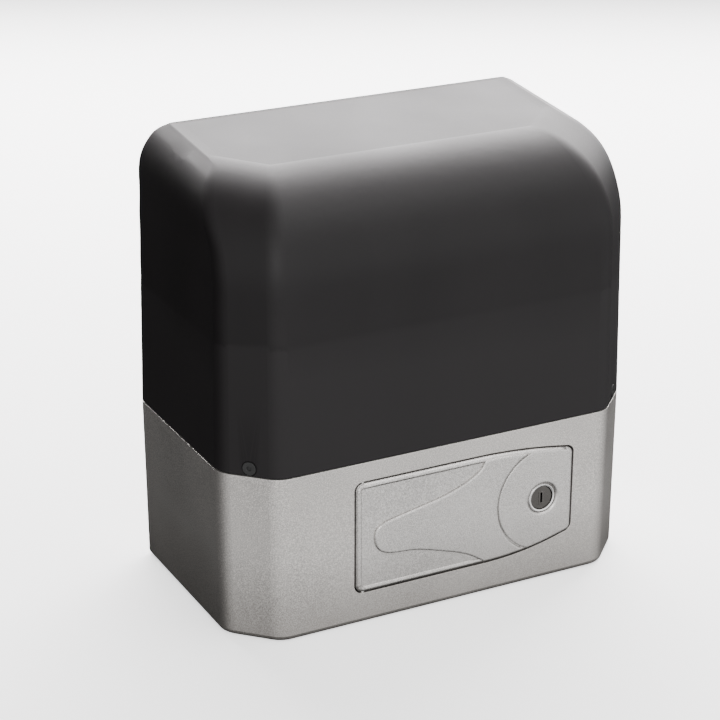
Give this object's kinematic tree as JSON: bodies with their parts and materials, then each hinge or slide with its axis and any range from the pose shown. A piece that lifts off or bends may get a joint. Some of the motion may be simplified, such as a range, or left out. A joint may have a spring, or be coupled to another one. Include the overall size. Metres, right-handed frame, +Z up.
{
  "type": "sliding gate motor",
  "caption": "Sliding gate motor with a die-cast base, a rolled dark cover, a keyed release door and a geared drive with rear pinion and limit lever.",
  "frame": {"origin": "centre of the four anchor slots, on the underside of the base", "axes": "+X right and -Y out of the front (release door) side, +Y to the gate, +Z up"},
  "size_m": [0.3, 0.2002, 0.3094],
  "materials": {
    "silver_casting": "satin metallic paint over a fine cast grain",
    "cover_plastic": "satin moulded, anthracite, fine spark texture",
    "silver_door": "satin metallic paint, a little smoother than the base",
    "lock_bezel": "dark plated",
    "lock_metal": "dark plated, worn round the key slot",
    "dark_fixings": "black zinc",
    "gasket_rubber": "matt",
    "zinc_steel": "bright zinc",
    "ground_steel": "ground",
    "gear_steel": "machined, light oil",
    "spring_steel": "drawn wire",
    "bronze": "machined bronze",
    "cast_iron_hub": "machined casting",
    "raw_alloy": "raw die-cast",
    "lamination": "varnished laminations",
    "copper_winding": "enamelled copper wire",
    "fan_plastic": "moulded",
    "bracket_plastic": "moulded",
    "circuit_board": "solder mask",
    "relay_case": "moulded",
    "chip_case": "moulded",
    "capacitor_sleeve": "shrink sleeve",
    "terminal_green": "moulded",
    "fuse_black": "moulded",
    "capacitor_can": "moulded can"
  },
  "bodies": {
    "base": {"base_housing": "silver_casting", "cover_gasket": "gasket_rubber", "levelling_screws": "zinc_steel", "cable_grommets": "gasket_rubber", "door_hinge_pin": "ground_steel", "release_pan": "bracket_plastic", "release_bush": "bronze", "gearbox_case": "raw_alloy", "gearbox_lid": "raw_alloy", "gearbox_screws": "zinc_steel", "output_bearings": "ground_steel", "shaft_seal": "gasket_rubber", "worm_bearings": "ground_steel", "motor_bearing_top": "ground_steel", "motor_flange": "raw_alloy", "motor_top_shield": "raw_alloy", "stator_stack": "lamination", "stator_windings": "copper_winding", "motor_tie_bolts": "zinc_steel", "deck_plate": "zinc_steel", "deck_screws": "zinc_steel", "board_bracket": "bracket_plastic", "control_board": "circuit_board", "board_relays": "relay_case", "board_chips": "chip_case", "board_capacitors": "capacitor_sleeve", "terminal_blocks": "terminal_green", "fuse_holder": "fuse_black", "transformer_core": "lamination", "transformer_coil": "copper_winding", "run_capacitor": "capacitor_can", "capacitor_clip": "zinc_steel", "limit_switch_housing": "bracket_plastic", "limit_microswitches": "bracket_plastic"},
    "cover_body": {"cover": "cover_plastic", "cover_screws": "dark_fixings"},
    "door": {"door_panel": "silver_door", "door_tongue": "silver_door", "lock_surround": "silver_door", "lock_barrel": "lock_bezel"},
    "lock": {"lock_core": "lock_metal", "lock_cam": "zinc_steel", "lock_nut": "dark_fixings"},
    "plunger": {"release_plunger": "ground_steel", "release_spring": "zinc_steel"},
    "output": {"output_shaft": "ground_steel", "shaft_keys": "ground_steel", "worm_wheel_rim": "bronze", "worm_wheel_hub": "cast_iron_hub", "pinion": "gear_steel", "pinion_spacer": "ground_steel", "pinion_washer": "zinc_steel", "pinion_bolt": "zinc_steel"},
    "rotor": {"worm_shaft": "ground_steel", "rotor_core": "lamination", "cooling_fan": "fan_plastic"},
    "lever": {"limit_spindle": "ground_steel", "limit_spring": "spring_steel", "limit_tip": "bracket_plastic"}
  },
  "joints": [
    {"name": "cover_lift", "type": "slide", "parent": "base", "child": "cover_body", "axis": [0, 0, 1], "range_m": [0, 0.22]},
    {"name": "door_hinge", "type": "hinge", "parent": "base", "child": "door", "pos_m": [-0.062, -0.0775, 0.0627], "axis": [0, 0, -1], "range_deg": [0, 100]},
    {"name": "lock_turn", "type": "hinge", "parent": "door", "child": "lock", "pos_m": [0.072, -0.074, 0.062], "axis": [0, 1, 0], "range_deg": [0, 90]},
    {"name": "release_slide", "type": "slide", "parent": "base", "child": "plunger", "axis": [0, -1, 0], "range_m": [0, 0.006]},
    {"name": "rotor_spin", "type": "hinge", "parent": "base", "child": "rotor", "pos_m": [-0.0365, 0.02, 0.15], "axis": [0, 0, 1], "continuous": true},
    {"name": "output_turn", "type": "hinge", "parent": "base", "child": "output", "pos_m": [0.016, 0.02, 0.062], "axis": [0, 1, 0], "continuous": true},
    {"name": "lever_swing", "type": "hinge", "parent": "base", "child": "lever", "pos_m": [0.016, 0.089, 0.106], "axis": [0, 1, 0], "range_deg": [-40, 40], "stiffness_Nm_per_rad": 0.08}
  ],
  "couplings": [
    {"joint": "output_turn", "follows": "rotor_spin", "ratio": -0.03125},
    {"joint": "release_slide", "follows": "door_hinge", "m_per_rad": 0.003437}
  ]
}
